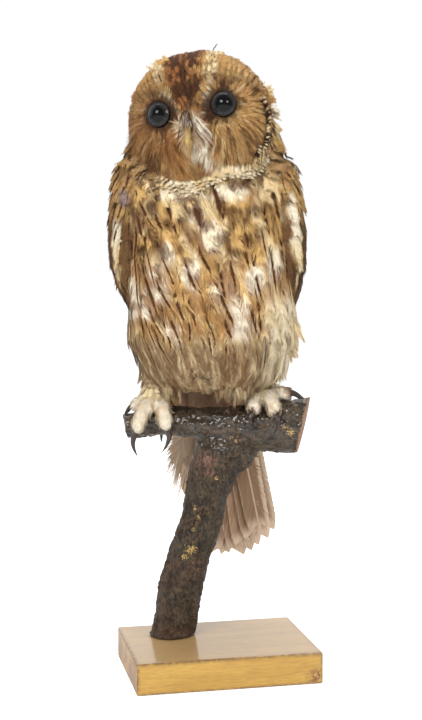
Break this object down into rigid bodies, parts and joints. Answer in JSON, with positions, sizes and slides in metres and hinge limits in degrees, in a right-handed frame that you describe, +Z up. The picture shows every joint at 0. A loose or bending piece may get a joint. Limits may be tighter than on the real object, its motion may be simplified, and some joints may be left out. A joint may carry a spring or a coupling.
{
  "type": "taxidermy tawny owl",
  "caption": "Mounted tawny owl perched upright on a forked branch that stands on a rectangular wooden base, head turned a little to its right.",
  "frame": {"origin": "middle of the base block's underside, on the surface it rests on", "axes": "+Z up, X along the base block's long side, -Y the side of the base that the owl's breast faces, give or take a 12 degree turn"},
  "size_m": [0.1518, 0.1353, 0.472],
  "materials": {
    "plumage": "buff and rufous feathers with dark brown streaks",
    "face_plumage": "rufous brown facial disc with a dark crown stripe",
    "wing_plumage": "mottled brown with cream patches",
    "tail_plumage": "pinkish brown, paler below",
    "toe_plumage": "short cream plush down to the claws",
    "claw": "dark horn",
    "bill": "yellowish horn",
    "eye_glass": "polished near-black glass",
    "eyelid": "near-black dried skin",
    "bark": "dark bark under patchy varnish",
    "base_wood": "honey-coloured hardwood, varnished"
  },
  "bodies": {
    "root": {"base_block": "base_wood", "bill_lower": "bill", "bill_upper": "bill", "branch": "bark", "claw_hind_left": "claw", "claw_hind_right": "claw", "claw_inner_left": "claw", "claw_inner_right": "claw", "claw_middle_left": "claw", "claw_middle_right": "claw", "claw_outer_left": "claw", "claw_outer_right": "claw", "eye_left": "eye_glass", "eye_right": "eye_glass", "eyelid_left": "eyelid", "eyelid_right": "eyelid", "head": "face_plumage", "neck": "plumage", "primaries_left": "wing_plumage", "primaries_right": "wing_plumage", "tail": "tail_plumage", "tail_coverts": "tail_plumage", "tarsus_left": "toe_plumage", "tarsus_right": "toe_plumage", "thigh_left": "plumage", "thigh_right": "plumage", "toe_hind_left": "toe_plumage", "toe_hind_right": "toe_plumage", "toe_inner_left": "toe_plumage", "toe_inner_right": "toe_plumage", "toe_middle_left": "toe_plumage", "toe_middle_right": "toe_plumage", "toe_outer_left": "toe_plumage", "toe_outer_right": "toe_plumage", "trunk": "plumage", "wing_left": "wing_plumage", "wing_right": "wing_plumage"}
  },
  "joints": []
}
